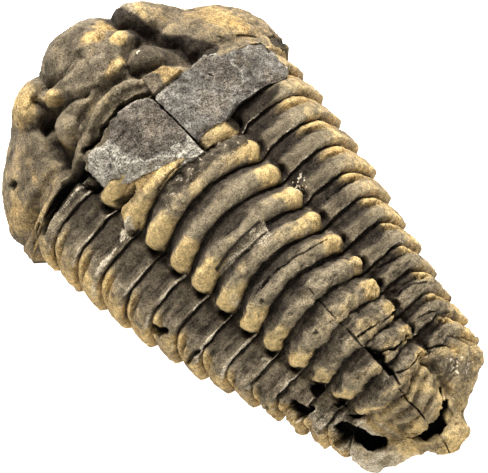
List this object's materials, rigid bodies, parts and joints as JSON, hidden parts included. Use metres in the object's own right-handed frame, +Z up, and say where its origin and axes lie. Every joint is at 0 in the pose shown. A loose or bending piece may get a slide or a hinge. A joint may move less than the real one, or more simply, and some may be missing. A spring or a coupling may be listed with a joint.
{
  "type": "trilobite fossil",
  "caption": "Calymenid trilobite fossil lying belly down: broad domed head, ringed body between ribbed side lobes, short pointed tail, grey rock slabs left on the neck.",
  "frame": {"origin": "middle of the flat underside's bounding box, on the surface that the fossil rests on", "axes": "+Y towards the head, +X to the fossil's right side, +Z up"},
  "size_m": [0.0374, 0.0632, 0.0171],
  "materials": {
    "stone": "matte ochre, brown and near-black fossil stone, finely pitted, with mid-grey rock on the neck"
  },
  "bodies": {
    "root": {"trilobite": "stone"}
  },
  "joints": []
}
